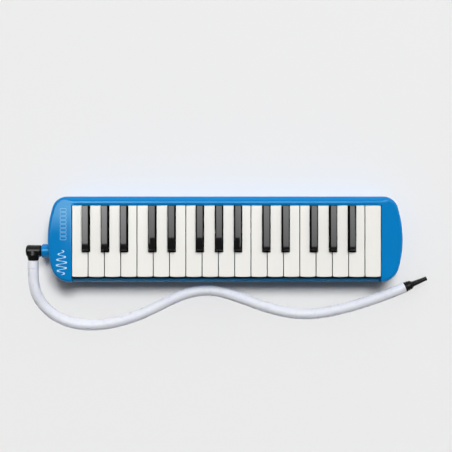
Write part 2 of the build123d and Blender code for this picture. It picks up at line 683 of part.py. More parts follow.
with BuildPart() as drain_washer:
    post(DRAIN_X, DRAIN_Y, 4.0, WASHER_Z)
    post(DRAIN_X, DRAIN_Y, 1.5 + TOUCH, WASHER_Z, Mode.SUBTRACT)
drain_washer.part.label = "drain_washer"
export_step(drain_washer.part, "parts/drain_washer.step")

SPRING_WIRE = 0.25
coil_bottom = FLANGE_Z[1] + SPRING_WIRE + 0.1
coil_height = CHAMBER_BOTTOM - 0.1 - SPRING_WIRE - coil_bottom

with BuildPart() as drain_spring:
    with BuildLine(level(coil_bottom, DRAIN_X, DRAIN_Y)) as coil:
        Helix(pitch=coil_height / 2.5, height=coil_height, radius=3.6)
    with BuildSketch(Plane(coil.line @ 0, z_dir=coil.line % 0)):
        Circle(SPRING_WIRE)
    sweep(is_frenet=True)
drain_spring.part.label = "drain_spring"
export_step(drain_spring.part, "parts/drain_spring.step")

# ---------------------------------------------------------------- hand strap

with BuildPart() as hand_strap:
    tab_z = RECESS_TOP - 0.1
    sag_z = 4.1
    inner_x, slope_x, end_x = 66.0, 79.0, 89.5
    with BuildSketch(front_plane(STRAP_Y + STRAP_WIDTH / 2)):
        with BuildLine():
            upper = [(-end_x, tab_z), (-slope_x, tab_z), (-inner_x, sag_z)]
            upper += [(inner_x, sag_z), (slope_x, tab_z), (end_x, tab_z)]
            lower = [(x, z - STRAP_THICK) for x, z in reversed(upper)]
            Polyline(*upper, *lower, close=True)
        make_face()
    extrude(amount=STRAP_WIDTH)
    for x in (-ANCHOR_X, ANCHOR_X):
        post(x, STRAP_Y, SCREW_R + 0.3, (tab_z - STRAP_THICK - 1, tab_z + 1), Mode.SUBTRACT)
hand_strap.part.label = "hand_strap"
export_step(hand_strap.part, "parts/hand_strap.step")

ANCHOR_Z = (RECESS_TOP - 0.1 - STRAP_THICK - 1.8, RECESS_TOP - 0.1 - STRAP_THICK)

with BuildPart() as strap_anchors:
    for x in (-ANCHOR_X, ANCHOR_X):
        with BuildSketch(level(ANCHOR_Z[0], x, STRAP_Y)):
            RectangleRounded(9.0, STRAP_WIDTH + 2.0, 2.0)
        extrude(amount=ANCHOR_Z[1] - ANCHOR_Z[0])
    fillet(strap_anchors.edges().group_by(Axis.Z)[0], 0.6)
    for x in (-ANCHOR_X, ANCHOR_X):
        post(x, STRAP_Y, SCREW_R + 0.1, ANCHOR_Z, Mode.SUBTRACT)
strap_anchors.part.label = "strap_anchors"
export_step(strap_anchors.part, "parts/strap_anchors.step")

with BuildPart() as strap_screws:
    for x in (-ANCHOR_X, ANCHOR_X):
        screw(x, STRAP_Y, ANCHOR_Z[0] - 1.8, 1.8, 16.5)
strap_screws.part.label = "strap_screws"
export_step(strap_screws.part, "parts/strap_screws.step")

# ---------------------------------------------------------------- hose elbow and cuff

ELBOW_ENDS = (ELBOW_X - 8.3, SOCKET_FACE - 0.5)
OUTLET_PROFILE = [(SOCKET_Y, ELBOW_R - 0.1), (-19.6, 8.0), (OUTLET_END, 6.1)]  # y and radius
SPIGOT_R = 4.7
SPIGOT_END = OUTLET_END - 6.5

with BuildPart() as hose_elbow:
    # Body in line with the socket, with a rounded far end and a chamfer beside the socket
    with BuildSketch(section(ELBOW_ENDS[0])):
        with Locations((SOCKET_Y, SOCKET_Z)):
            Circle(ELBOW_R)
    extrude(amount=ELBOW_ENDS[1] - ELBOW_ENDS[0])
    fillet(hose_elbow.faces().sort_by(Axis.X)[0].edges(), 2.4)
    chamfer(hose_elbow.faces().sort_by(Axis.X)[-1].edges(), 1.4)
    # Outlet: a shoulder that swells out of the body, then a taper to the hose
    outlet = Plane((CASE_X + ELBOW_X, SOCKET_Y, SOCKET_Z), x_dir=(1, 0, 0), z_dir=(0, -1, 0))
    for (near_y, near_r), (far_y, far_r) in zip(OUTLET_PROFILE, OUTLET_PROFILE[1:]):
        with BuildSketch(outlet.offset(SOCKET_Y - near_y)):
            Circle(near_r)
        with BuildSketch(outlet.offset(SOCKET_Y - far_y)):
            Circle(far_r)
        loft()
    with BuildSketch(outlet):
        Circle(SPIGOT_R)
    extrude(amount=SOCKET_Y - SPIGOT_END)
    # Plug that turns in the blow socket
    with BuildSketch(section(ELBOW_ENDS[1])):
        with Locations((SOCKET_Y, SOCKET_Z)):
            Circle(PLUG_R)
    extrude(amount=13.0)
    # Air way round the corner
    with BuildSketch(section(ELBOW_X)):
        with Locations((SOCKET_Y, SOCKET_Z)):
            Circle(4.0)
    extrude(amount=ELBOW_ENDS[1] + 13.0 - ELBOW_X, mode=Mode.SUBTRACT)
    with BuildSketch(outlet):
        Circle(3.6)
    extrude(amount=SOCKET_Y - SPIGOT_END, mode=Mode.SUBTRACT)
hose_elbow.part.label = "hose_elbow"
export_step(hose_elbow.part, "parts/hose_elbow.step")

with BuildPart() as hose_cuff:
    with BuildSketch(front_plane(OUTLET_END)):
        with Locations((ELBOW_X, SOCKET_Z)):
            Circle(6.75)
            Circle(SPIGOT_R + TOUCH, mode=Mode.SUBTRACT)
    extrude(amount=OUTLET_END - SPIGOT_END)
    with BuildSketch(front_plane(SPIGOT_END)):
        with Locations((ELBOW_X, SOCKET_Z)):
            Circle(6.75)
            Circle(HOSE_ID / 2, mode=Mode.SUBTRACT)
    extrude(amount=SPIGOT_END - CUFF_END)
    fillet(hose_cuff.faces().sort_by(Axis.Y)[0].outer_wire().edges(), 0.7)
hose_cuff.part.label = "hose_cuff"
export_step(hose_cuff.part, "parts/hose_cuff.step")

# ---------------------------------------------------------------- hose


def bend_radii(route):
    """The largest arc that each corner's two runs allow."""
    points = [Vector(*point) for point in route]
    radii = []
    for before, corner, after in zip(points, points[1:], points[2:]):
        run_in, run_out = corner - before, after - corner
        turn = math.radians(run_in.get_angle(run_out))
        radii.append(0.45 * min(run_in.length, run_out.length) / math.tan(turn / 2))
    return radii


radii = bend_radii(HOSE_ROUTE)
print("hose bend radii", [round(radius) for radius in radii])

with BuildPart() as hose_tube:
    with BuildLine() as path:
        FilletPolyline(*HOSE_ROUTE, radius=radii)
    with BuildSketch(Plane(path.line @ 0, z_dir=path.line % 0)):
        Circle(HOSE_OD / 2)
        Circle(HOSE_ID / 2, mode=Mode.SUBTRACT)
    sweep()
hose_length = path.wires()[0].length
straight_volume = math.pi * (HOSE_OD**2 - HOSE_ID**2) / 4 * hose_length
print("hose length", round(hose_length, 1))
print("hose volume over section x length", round(hose_tube.part.volume / straight_volume, 4))
hose_tube.part.label = "hose_tube"
export_step(hose_tube.part, "parts/hose_tube.step")

# ---------------------------------------------------------------- mouthpiece

hose_end = Vector(*HOSE_ROUTE[-1])
tip_direction = (hose_end - Vector(*HOSE_ROUTE[-2])).normalized()
sideways = Vector(-tip_direction.Y, tip_direction.X, 0)

# Local x runs along the mouthpiece and local y is the radius
with BuildPart() as mouthpiece:
    with BuildSketch(Plane(hose_end, x_dir=tip_direction, z_dir=tip_direction.cross(sideways))):
        with BuildLine():
            Polyline(
                (0, 0),
                (0, 6.1),
                (2.2, 6.1),
                (2.6, 5.6),
                (3.4, 5.6),
                (3.8, 5.9),
                (5.2, 5.9),
                (5.6, 5.4),
                (6.4, 5.4),
                (6.8, 5.6),
                (8.4, 5.3),
                (11.5, 3.3),
                (MOUTHPIECE_LENGTH - 1.6, 2.45),
                (MOUTHPIECE_LENGTH - 0.8, 2.75),
                (MOUTHPIECE_LENGTH, 2.6),
                (MOUTHPIECE_LENGTH, 0),
                close=True,
            )
        make_face()
    revolve(axis=Axis(hose_end, tip_direction))
    with BuildSketch(Plane(hose_end, z_dir=tip_direction)):
        Circle(1.6)
    extrude(amount=MOUTHPIECE_LENGTH, mode=Mode.SUBTRACT)
mouthpiece.part.label = "mouthpiece"
export_step(mouthpiece.part, "parts/mouthpiece.step")
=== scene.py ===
"""A 32-key melodica with its blowing hose, lying on a pale studio floor.

All sizes are in metres, in the frame of the CAD model: X along the keyboard, low notes at -X,
Y from the player's edge to the rail behind the keys, and Z up from the floor.
"""

import json
import math

import bmesh
import bpy
from mathutils import Matrix, Vector


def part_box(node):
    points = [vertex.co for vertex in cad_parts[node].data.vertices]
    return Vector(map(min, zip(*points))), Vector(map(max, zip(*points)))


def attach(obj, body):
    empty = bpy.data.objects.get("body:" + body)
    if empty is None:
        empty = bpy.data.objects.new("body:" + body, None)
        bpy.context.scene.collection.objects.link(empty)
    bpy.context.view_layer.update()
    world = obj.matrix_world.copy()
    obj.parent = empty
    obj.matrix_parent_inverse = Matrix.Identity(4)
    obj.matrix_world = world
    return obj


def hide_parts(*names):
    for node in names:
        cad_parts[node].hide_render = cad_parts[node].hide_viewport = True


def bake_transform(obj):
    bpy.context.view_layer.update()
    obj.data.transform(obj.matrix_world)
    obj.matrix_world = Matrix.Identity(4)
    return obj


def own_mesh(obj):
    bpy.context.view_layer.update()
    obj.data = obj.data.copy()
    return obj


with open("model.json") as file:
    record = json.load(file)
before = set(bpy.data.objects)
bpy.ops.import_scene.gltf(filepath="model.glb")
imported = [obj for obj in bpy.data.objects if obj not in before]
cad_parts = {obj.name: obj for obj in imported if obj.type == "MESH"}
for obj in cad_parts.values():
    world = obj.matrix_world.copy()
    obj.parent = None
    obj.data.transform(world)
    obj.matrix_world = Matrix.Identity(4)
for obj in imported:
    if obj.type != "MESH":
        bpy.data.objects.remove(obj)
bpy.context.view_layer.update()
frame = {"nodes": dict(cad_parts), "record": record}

MM = 0.001
NODES = frame["nodes"]
BODY_OF = {
    node: body for body, members in frame["record"]["behaviour"]["bodies"].items() for node in members
}
WHITE_KEYS = sorted(name for name in NODES if name.startswith("white_key"))
BLACK_KEYS = sorted(name for name in NODES if name.startswith("black_key"))
WHITE_KEYS_IN_ORDER = sorted(WHITE_KEYS, key=lambda name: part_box(name)[0].x)
CASE_LOW, CASE_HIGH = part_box("upper_cover")
CASE_TOP = CASE_HIGH.z
CASE_X = (CASE_LOW.x + CASE_HIGH.x) / 2
SPLIT_Z = CASE_LOW.z  # joint between the lower case and the upper cover
TOP_ROUND = 4.6 * MM  # radius of the cover's outer top edge

# ---------------------------------------------------------------- the hose's facts

HOSE_DIAMETER = 13.2 * MM

# The route of the hose, as in the CAD source, in millimetres
HOSE_ROUTE = [
    (-229.55, -36.0, 16.0),
    (-229.55, -56.5, 16.0),
    (-222.1, -77.0, 12.5),
    (-206.6, -93.2, 9.0),
    (-185.6, -103.4, 6.85),
    (-159.6, -106.6, 6.65),
    (-128.6, -102.8, 6.65),
    (-94.6, -91.3, 6.65),
    (-63.6, -75.0, 6.65),
    (-38.6, -64.8, 6.65),
    (-10.6, -62.0, 6.65),
    (19.4, -70.6, 6.65),
    (51.4, -82.8, 6.65),
    (83.4, -91.3, 6.65),
    (111.4, -92.6, 6.65),
    (144.4, -87.3, 6.65),
    (179.4, -76.6, 6.65),
    (204.4, -68.0, 6.65),
    (225.6, -59.3, 6.65),
]
ROUTE = [Vector(point) * MM for point in HOSE_ROUTE]


# ---------------------------------------------------------------- camera, light and floor

CAMERA = Vector((CASE_X + 1.0 * MM, 16.2 * MM, CASE_TOP + 1.11))
LAMP_HEIGHT = 30.0


def add_object(name, data):
    made = bpy.data.objects.new(name, data)
    bpy.context.scene.collection.objects.link(made)
    return made


def make_camera():
    """Straight above the instrument, with the rail upwards in the picture."""
    data = bpy.data.cameras.new("camera")
    data.sensor_width = 36
    data.lens = 73.7
    data.clip_start = 0.01
    camera = add_object("camera", data)
    camera.location = CAMERA
    bpy.context.scene.camera = camera


def mirrored(place, axis):
    """Where a lamp stands whose mirror image, seen in the case's top, is at that place."""
    stretch = (LAMP_HEIGHT - CASE_TOP) / (CAMERA.z - CASE_TOP)
    return place + (place - CAMERA[axis]) * stretch


def ramp(tree, value, taken, given):
    """value from one range to another, clamped at both ends."""
    node = tree.nodes.new("ShaderNodeMapRange")
    node.inputs["From Min"].default_value, node.inputs["From Max"].default_value = taken
    node.inputs["To Min"].default_value, node.inputs["To Max"].default_value = given
    tree.links.new(value, node.inputs["Value"])
    return node


def smoothstep(share):
    """A smooth rise from 0 to 1 as share goes from 0 to 1."""
    share = min(1, max(0, share))
    return share * share * (3 - 2 * share)


def multiply(tree, first, second):
    node = tree.nodes.new("ShaderNodeMath")
    node.operation = "MULTIPLY"
    tree.links.new(first, node.inputs[0])
    tree.links.new(second, node.inputs[1])
    return node.outputs["Value"]


def make_softbox(name, image_x, image_y, radiance, fade, for_gloss):
    """A flat light facing down, placed by where its mirror image would lie on the case's top.

    Its radiance goes evenly from its left end to its right end. fade is the share of it that is left
    at the front edge, and how far in the rest returns. It gives either highlights or soft light.
    """
    front_share, fade_depth = fade
    low, high = (Vector((mirrored(x, 0), mirrored(y, 1))) for x, y in zip(image_x, image_y))
    size = high - low
    data = bpy.data.lights.new(name, "AREA")
    data.shape = "RECTANGLE"
    data.size, data.size_y = size
    data.energy = 4 * size.x * size.y  # a radiance of 1
    data.use_nodes = True
    tree = data.node_tree
    across = tree.nodes.new("ShaderNodeNewGeometry")
    split = tree.nodes.new("ShaderNodeSeparateXYZ")
    tree.links.new(across.outputs["Parametric"], split.inputs["Vector"])
    sideways = ramp(tree, split.outputs["X"], (0, 1), radiance)
    faded = (0, fade_depth / (image_y[1] - image_y[0]))
    inwards = ramp(tree, split.outputs["Y"], faded, (front_share, 1))
    strength = multiply(tree, sideways.outputs["Result"], inwards.outputs["Result"])
    tree.links.new(strength, tree.nodes["Emission"].inputs["Strength"])
    light = add_object(name, data)
    light.location = (*((low + high) / 2), LAMP_HEIGHT)
    light.visible_camera = False
    light.visible_glossy = for_gloss
    light.visible_diffuse = not for_gloss
    return light


def spare_from_shadow(light, pieces):
    """The light passes those pieces without a shadow, as if the pale surface under them glowed."""
    spared = bpy.data.collections.new("without_key_shadow")
    for piece in pieces:
        spared.objects.link(piece)
    light.light_linking.blocker_collection = spared
    for entry in spared.collection_objects:
        entry.light_linking.link_state = "EXCLUDE"


def make_world(front, rear, zenith):
    """A surround that gets brighter from front to rear, and is weakened overhead to the share zenith."""
    world = bpy.data.worlds.new("studio")
    bpy.context.scene.world = world
    world.use_nodes = True
    tree = world.node_tree
    tree.nodes["Background"].inputs["Color"].default_value = (1, 1, 1, 1)
    place = tree.nodes.new("ShaderNodeTexCoord")
    split = tree.nodes.new("ShaderNodeSeparateXYZ")
    tree.links.new(place.outputs["Generated"], split.inputs["Vector"])
    depth = ramp(tree, split.outputs["Y"], (-0.05, 0.8), (front, rear))
    overhead = (math.cos(math.radians(30)), math.cos(math.radians(18)))
    patch = ramp(tree, split.outputs["Z"], overhead, (1, zenith))
    patch.interpolation_type = "SMOOTHSTEP"
    strength = multiply(tree, depth.outputs["Result"], patch.outputs["Result"])
    tree.links.new(strength, tree.nodes["Background"].inputs["Strength"])


def make_floor(size=8.0):
    mesh = bpy.data.meshes.new("floor")
    half = size / 2
    corners = [(-half, -half, 0), (half, -half, 0), (half, half, 0), (-half, half, 0)]
    mesh.from_pydata(corners, [], [(0, 1, 2, 3)])
    floor = add_object("floor", mesh)
    floor.data.materials.append(floor_paper())


# ---------------------------------------------------------------- materials


class Finish:
    """A node material under construction: a Principled shader and what varies over it."""

    def __init__(self, name, **sockets):
        self.material = bpy.data.materials.new(name)
        self.material.use_nodes = True
        self.tree = self.material.node_tree
        self.surface = self.tree.nodes["Principled BSDF"]
        coordinates = self.add("ShaderNodeTexCoord")
        self.place = coordinates.outputs["Object"]
        self.facing = coordinates.outputs["Normal"]
        for socket, value in sockets.items():
            self.surface.inputs[socket.replace("_", " ")].default_value = value

    def add(self, kind, **inputs):
        node = self.tree.nodes.new(kind)
        for socket, value in inputs.items():
            node.inputs[socket.replace("_", " ")].default_value = value
        return node

    def link(self, output, target):
        self.tree.links.new(output, target)

    def stretched(self, scale):
        """Object coordinates scaled unevenly."""
        mapping = self.add("ShaderNodeMapping", Scale=scale)
        self.link(self.place, mapping.inputs["Vector"])
        return mapping.outputs["Vector"]

    def noise(self, scale, detail=3.0, place=None):
        """Noise from 0 to 1, with about scale bumps to the metre."""
        node = self.add("ShaderNodeTexNoise", Scale=scale, Detail=detail)
        self.link(place or self.place, node.inputs["Vector"])
        return node.outputs["Fac"]

    def spread(self, value, low, high, start=0.3, end=0.7):
        """value from start to end, mapped to the range from low to high."""
        node = self.add("ShaderNodeMapRange")
        for socket, number in (("From Min", start), ("From Max", end), ("To Min", low), ("To Max", high)):
            node.inputs[socket].default_value = number
        self.link(value, node.inputs["Value"])
        return node.outputs["Result"]

    def mixed_base(self, value):
        """Makes the base colour a mix of two colours by value, and gives their two inputs."""
        node = self.add("ShaderNodeMix")
        node.data_type = "RGBA"
        self.link(value, node.inputs["Factor"])
        result = [socket for socket in node.outputs if socket.type == "RGBA"][0]
        self.link(result, self.surface.inputs["Base Color"])
        return [socket for socket in node.inputs if socket.type == "RGBA"]

    def colours(self, value, first, second):
        """The base colour goes from first to second with value."""
        start, end = self.mixed_base(value)
        start.default_value, end.default_value = first, second

    def recolour(self, value, colour):
        """The base colour goes from what it was to that colour with value."""
        before = self.surface.inputs["Base Color"].links[0].from_socket
        start, end = self.mixed_base(value)
        self.link(before, start)
        end.default_value = colour

    def roughness(self, value, low, high):
        self.link(self.spread(value, low, high), self.surface.inputs["Roughness"])

    def bands(self, axis, pitch):
        """Parallel ridges, 0 to 1, one to each pitch in metres along that axis."""
        node = self.add("ShaderNodeTexWave", Scale=math.tau / (20 * pitch))
        node.bands_direction = axis
        self.link(self.place, node.inputs["Vector"])
        return node.outputs["Fac"]

    def flanks(self, start=0.5, end=0.9):
        """1 on faces that are turned to the left or right, 0 on all others."""
        split = self.add("ShaderNodeSeparateXYZ")
        self.link(self.facing, split.inputs["Vector"])
        size = self.add("ShaderNodeMath")
        size.operation = "ABSOLUTE"
        self.link(split.outputs["X"], size.inputs[0])
        return self.spread(size.outputs["Value"], 0, 1, start, end)

    def bump(self, value, depth):
        """Relief of that depth in metres. A second call adds to the first."""
        node = self.add("ShaderNodeBump", Strength=1.0, Distance=depth)
        normal = self.surface.inputs["Normal"]
        if normal.is_linked:
            self.link(normal.links[0].from_socket, node.inputs["Normal"])
        self.link(value, node.inputs["Height"])
        self.link(node.outputs["Normal"], normal)


def floor_paper():
    paper = Finish("floor_paper", Roughness=0.9, Specular_IOR_Level=0.0)
    paper.surface.inputs["Base Color"].default_value = (0.8, 0.8, 0.8, 1)
    return paper.material


def case_plastic():
    """Blue moulded ABS: satin, with slight flow marks and a fine orange-peel grain."""
    plastic = Finish("case_plastic", Specular_IOR_Level=0.4, Specular_Tint=(0.5, 0.9, 1.0, 1))
    flow = plastic.noise(9, 4, plastic.stretched((1.0, 3.0, 3.0)))
    plastic.colours(flow, (0.002, 0.182, 0.485, 1), (0.003, 0.197, 0.52, 1))
    plastic.roughness(plastic.noise(60, 5), 0.04, 0.07)
    plastic.bump(plastic.noise(900, 2), 0.002 * MM)
    return plastic.material


def white_key_plastic():
    """Warm white, glossy keys with faint clouding and finger polish, and painted shade on their flanks that
    darkens the gaps between the keys.
    """
    plastic = Finish("white_key_plastic", Specular_IOR_Level=0.4)
    plastic.colours(plastic.noise(40, 4), (0.82, 0.81, 0.775, 1), (0.78, 0.768, 0.725, 1))
    # painted shade: the flanks are greyed so that the gaps between the keys look shaded
    plastic.recolour(plastic.flanks(), (0.45, 0.44, 0.41, 1))
    plastic.roughness(plastic.noise(120, 4), 0.16, 0.26)
    plastic.bump(plastic.noise(350, 2), 0.01 * MM)
    return plastic.material


def black_key_plastic():
    """Black keys, matt on their flanks and polished elsewhere, with hairline scratches."""
    plastic = Finish("black_key_plastic")
    scratches = plastic.noise(1500, 4, plastic.stretched((1.0, 0.03, 1.0)))
    plastic.colours(plastic.noise(80, 3), (0.004, 0.004, 0.004, 1), (0.008, 0.008, 0.0075, 1))
    plastic.roughness(scratches, 0.01, 0.025)
    plastic.bump(scratches, 0.0005 * MM)
    gloss = plastic.spread(plastic.flanks(), 0.5, 0, 0, 1)
    plastic.link(gloss, plastic.surface.inputs["Specular IOR Level"])
    return plastic.material


def black_plastic():
    """Satin black nylon with a fine grain."""
    plastic = Finish("black_plastic", Specular_IOR_Level=0.3)
    plastic.colours(plastic.noise(200, 4), (0.003, 0.003, 0.003, 1), (0.006, 0.006, 0.006, 1))
    plastic.roughness(plastic.noise(500, 4), 0.2, 0.3)
    plastic.bump(plastic.noise(1800, 2), 0.012 * MM)
    return plastic.material


def inner_plastic():
    """Dark grey ABS of the parts inside, with ejector-mark clouding."""
    plastic = Finish("inner_plastic")
    plastic.colours(plastic.noise(150, 4), (0.018, 0.019, 0.021, 1), (0.03, 0.031, 0.034, 1))
    plastic.roughness(plastic.noise(300, 4), 0.4, 0.6)
    plastic.bump(plastic.noise(1200, 2), 0.02 * MM)
    return plastic.material


def rubber_seal():
    rubber = Finish("rubber_seal", Specular_IOR_Level=0.3)
    rubber.colours(rubber.noise(400, 4), (0.012, 0.012, 0.012, 1), (0.03, 0.03, 0.03, 1))
    rubber.roughness(rubber.noise(600, 3), 0.55, 0.8)
    rubber.bump(rubber.noise(1500, 3), 0.03 * MM)
    return rubber.material


def brushed_metal(name, dark, light, roughness, stretch):
    """Metal with brush lines across the stretched direction."""
    metal = Finish(name, Metallic=1.0)
    lines = metal.noise(1600, 4, metal.stretched(stretch))
    metal.colours(metal.noise(250, 4), dark, light)
    metal.roughness(lines, *roughness)
    metal.bump(lines, 0.006 * MM)
    return metal.material


def felt():
    cloth = Finish("felt", Sheen_Weight=0.6, Sheen_Roughness=0.5, Specular_IOR_Level=0.1)
    fibres = cloth.noise(3500, 6)
    cloth.colours(fibres, (0.012, 0.013, 0.016, 1), (0.05, 0.052, 0.06, 1))
    cloth.surface.inputs["Roughness"].default_value = 0.95
    cloth.bump(fibres, 0.15 * MM)
    return cloth.material


def strap_webbing():
    """Woven nylon webbing: ribs across it, crossed by finer warp threads."""
    cloth = Finish("strap_webbing", Sheen_Weight=0.35, Sheen_Roughness=0.4, Specular_IOR_Level=0.25)
    ribs = cloth.bands("X", 1.3 * MM)
    threads = cloth.bands("Y", 0.75 * MM)
    weave = multiply(cloth.tree, ribs, threads)
    cloth.colours(weave, (0.006, 0.006, 0.007, 1), (0.03, 0.03, 0.033, 1))
    cloth.roughness(cloth.noise(900, 3), 0.65, 0.9)
    cloth.bump(weave, 0.25 * MM)
    cloth.bump(cloth.noise(4000, 4), 0.05 * MM)
    return cloth.material


def print_ink(name, first, second):
    """Thin pad-printed ink, worn in patches."""
    ink = Finish(name, Specular_IOR_Level=0.3)
    ink.colours(ink.noise(500, 5), first, second)
    ink.roughness(ink.noise(900, 3), 0.3, 0.5)
    return ink.material


def cuff_plastic():
    """Soft white vinyl with a fine matt grain."""
    plastic = Finish("cuff_plastic", Specular_IOR_Level=0.4)
    plastic.colours(plastic.noise(120, 4), (0.76, 0.775, 0.82, 1), (0.72, 0.735, 0.785, 1))
    plastic.roughness(plastic.noise(300, 3), 0.3, 0.42)
    plastic.bump(plastic.noise(700, 2), 0.015 * MM)
    return plastic.material


def hose_plastic():
    """Milky soft vinyl: light goes a little way in, and the surface is smooth with slight clouds."""
    vinyl = Finish(
        "hose_plastic",
        Subsurface_Weight=0.9,
        Subsurface_Scale=5 * MM,
        Specular_IOR_Level=0.4,
    )
    vinyl.surface.inputs["Subsurface Radius"].default_value = (1.0, 0.95, 1.1)
    vinyl.colours(vinyl.noise(45, 4), (0.75, 0.765, 0.81, 1), (0.71, 0.725, 0.775, 1))
    vinyl.roughness(vinyl.noise(150, 4), 0.24, 0.36)
    vinyl.bump(vinyl.noise(220, 2), 0.03 * MM)
    return vinyl.material


MATERIALS = {
    "case_plastic": case_plastic(),
    "white_key_plastic": white_key_plastic(),
    "black_key_plastic": black_key_plastic(),
    "black_plastic": black_plastic(),
    "inner_plastic": inner_plastic(),
    "rubber_seal": rubber_seal(),
    "reed_brass": brushed_metal(
        "reed_brass", (0.52, 0.33, 0.10, 1), (0.66, 0.45, 0.17, 1), (0.22, 0.38), (1.0, 0.02, 1.0)
    ),
    "screw_steel": brushed_metal(
        "screw_steel", (0.48, 0.48, 0.47, 1), (0.62, 0.62, 0.61, 1), (0.25, 0.4), (1.0, 1.0, 0.1)
    ),
    "spring_steel": brushed_metal(
        "spring_steel", (0.42, 0.43, 0.45, 1), (0.55, 0.56, 0.58, 1), (0.18, 0.32), (0.05, 1.0, 1.0)
    ),
    "felt": felt(),
    "strap_webbing": strap_webbing(),
    "cuff_plastic": cuff_plastic(),
    "hose_plastic": hose_plastic(),
}


# ---------------------------------------------------------------- mesh helpers


def dress(piece, body, slot, *replaced):
    """Gives a piece its body, its slot, that slot's material and the CAD nodes that it replaces."""
    piece.data.materials.clear()
    piece.data.materials.append(MATERIALS[slot])
    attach(piece, body)
    if replaced:
        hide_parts(*replaced)
    return piece


def from_bmesh(name, bm, sharp_above=40):
    """A smooth-shaded object made from bm, with edges sharp above that angle in degrees."""
    mesh = bpy.data.meshes.new(name)
    bmesh.ops.recalc_face_normals(bm, faces=bm.faces)
    bm.to_mesh(mesh)
    bm.free()
    mesh.shade_smooth()
    mesh.set_sharp_from_angle(angle=math.radians(sharp_above))
    return add_object(name, mesh)


def apply_modifiers(piece):
    depsgraph = bpy.context.evaluated_depsgraph_get()
    mesh = bpy.data.meshes.new_from_object(piece.evaluated_get(depsgraph))
    piece.modifiers.clear()
    piece.data = mesh


def weigh_normals(piece):
    """Keeps the shading of large flat faces flat beside their rounded edges."""
    piece.modifiers.new("normals", "WEIGHTED_NORMAL").keep_sharp = True
    apply_modifiers(piece)


def clean_copy(node):
    """A bmesh of a CAD node, with its seams joined and its flat faces in one piece."""
    bm = bmesh.new()
    bm.from_mesh(NODES[node].data)
    bmesh.ops.remove_doubles(bm, verts=bm.verts, dist=0.001 * MM)
    bmesh.ops.dissolve_limit(bm, angle_limit=math.radians(0.4), verts=bm.verts, edges=bm.edges)
    return bm


def round_edges(bm, width, wanted=lambda edge: True, above=35):
    """Rounds the wanted outer edges that are sharper than that angle, in degrees."""
    edges = [
        edge
        for edge in bm.edges
        if edge.is_manifold
        and edge.is_convex
        and edge.calc_face_angle() > math.radians(above)
        and wanted(edge)
    ]
    bmesh.ops.bevel(
        bm, geom=edges, offset=width, segments=3, profile=0.5, affect="EDGES", clamp_overlap=True
    )


def moulded(node, width, wanted=lambda edge: True, reshape=None):
    """The CAD node's shape with its outer edges rounded, in its own slot and on its own body."""
    bm = clean_copy(node)
    if reshape:
        reshape(bm, node)
    round_edges(bm, width, wanted)
    piece = from_bmesh(f"{node}_moulded", bm)
    weigh_normals(piece)
    slot = NODES[node].data.materials[0].name.split(".")[0]
    return dress(piece, BODY_OF[node], slot, node)


def lathe(name, profile, start, direction, steps=96):
    """A solid of revolution from (distance, radius) points in millimetres along direction."""
    bm = bmesh.new()
    rings = []
    for distance, radius in profile:
        turns = [math.tau * step / steps for step in range(steps)]
        places = [(math.cos(turn) * radius, math.sin(turn) * radius, distance) for turn in turns]
        rings.append([bm.verts.new(Vector(place) * MM) for place in places])
    for inner, outer in zip(rings, rings[1:] + rings[:1]):
        for step in range(steps):
            following = (step + 1) % steps
            bm.faces.new((inner[step], inner[following], outer[following], outer[step]))
    aim = Vector(direction).to_track_quat("Z", "Y").to_matrix().to_4x4()
    bmesh.ops.transform(bm, matrix=Matrix.Translation(start) @ aim, verts=bm.verts)
    return from_bmesh(name, bm, sharp_above=25)


def add_stroke(bm, points, widths, levels, closed=False):
    """Adds a flat line through points in the plane, of those widths, between two heights."""
    count = len(points)
    rails = []
    for i, (point, width) in enumerate(zip(points, widths)):
        before = points[(i - 1) % count] if closed or i else point
        after = points[(i + 1) % count] if closed or i < count - 1 else point
        along = (Vector(after) - Vector(before)).normalized()
        side = Vector((-along.y, along.x)) * width / 2
        corners = (Vector(point) + side, Vector(point) - side)
        rails.append([bm.verts.new((*corner, level)) for level in levels for corner in corners])
    for near, far in zip(rails, rails[1:] + (rails[:1] if closed else [])):
        for a, b in ((0, 1), (1, 3), (3, 2), (2, 0)):
            bm.faces.new((near[a], near[b], far[b], far[a]))
    if not closed:
        for end in (rails[0], rails[-1]):
            bm.faces.new((end[0], end[1], end[3], end[2]))


def add_capsule(bm, start, end, radius):
    """Adds a short thread between two points."""
    run = Vector(end) - Vector(start)
    aim = run.to_track_quat("Z", "Y").to_matrix().to_4x4()
    shape = Matrix.Diagonal((radius, radius, run.length / 2, 1))
    place = Matrix.Translation((Vector(start) + Vector(end)) / 2)
    bmesh.ops.create_uvsphere(bm, u_segments=10, v_segments=8, radius=1, matrix=place @ aim @ shape)


# ---------------------------------------------------------------- the hose, first of all

MOUTHPIECE_PROFILE = [  # along the mouthpiece and its radius: outside from the hose, then the bore
    (0, 6.0),
    (0.1, 6.1),
    (2.1, 6.1),
    (2.25, 6.0),
    (2.6, 5.6),
    (3.4, 5.6),
    (3.75, 5.87),
    (3.9, 5.92),
    (5.1, 5.92),
    (5.25, 5.82),
    (5.6, 5.4),
    (6.4, 5.4),
    (6.75, 5.58),
    (6.95, 5.6),
    (8.2, 5.34),
    (8.5, 5.2),
    (9.4, 4.45),
    (10.4, 3.76),
    (11.6, 3.28),
    (13.2, 3.16),
    (20.0, 2.8),
    (27.2, 2.46),
    (27.8, 2.52),
    (28.15, 2.7),
    (28.45, 2.73),
    (28.8, 2.66),
    (29.0, 2.45),
    (29.0, 1.75),
    (28.85, 1.6),
    (0.15, 1.6),
    (0, 1.75),
]


def make_mouthpiece():
    """The turned mouthpiece: three grip rings, a cone, and a thin stem with a flared tip."""
    direction = (ROUTE[-1] - ROUTE[-2]).normalized()
    piece = lathe("mouthpiece_turned", MOUTHPIECE_PROFILE, ROUTE[-1], direction)
    return dress(piece, "hose_set", "black_plastic", "mouthpiece")


